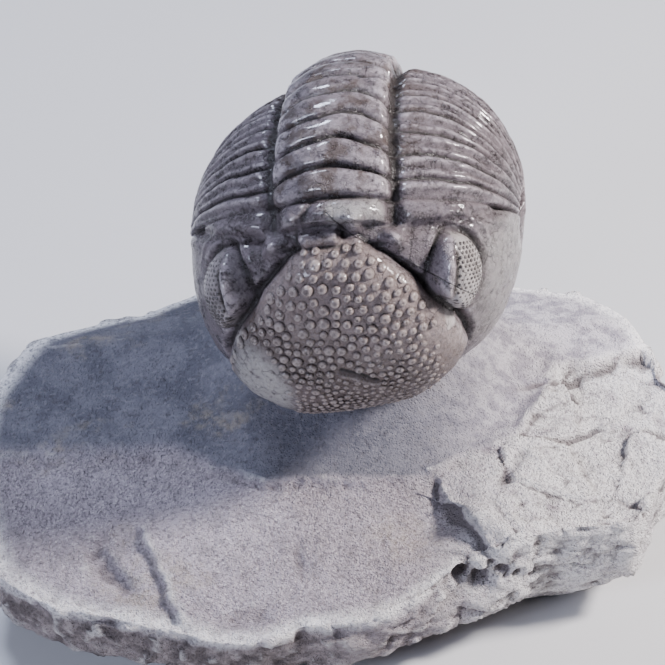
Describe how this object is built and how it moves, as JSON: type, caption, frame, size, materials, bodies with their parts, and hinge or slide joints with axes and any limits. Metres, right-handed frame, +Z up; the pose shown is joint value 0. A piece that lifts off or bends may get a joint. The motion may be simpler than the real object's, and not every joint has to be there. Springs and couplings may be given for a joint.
{
  "type": "trilobite fossil",
  "caption": "Enrolled trilobite with a pimpled head and ribbed back, standing free on the limestone that it was prepared out of.",
  "frame": {"origin": "on the flat base of the stone, under the middle of the whole piece", "axes": "+Z up from the base, +Y from the head to the back of the animal, +X to the right seen from the head"},
  "size_m": [0.1094, 0.0843, 0.0794],
  "materials": {
    "fossil": "satin",
    "limestone": "matte"
  },
  "bodies": {
    "root": {"trilobite": "fossil", "matrix_stone": "limestone"}
  },
  "joints": []
}
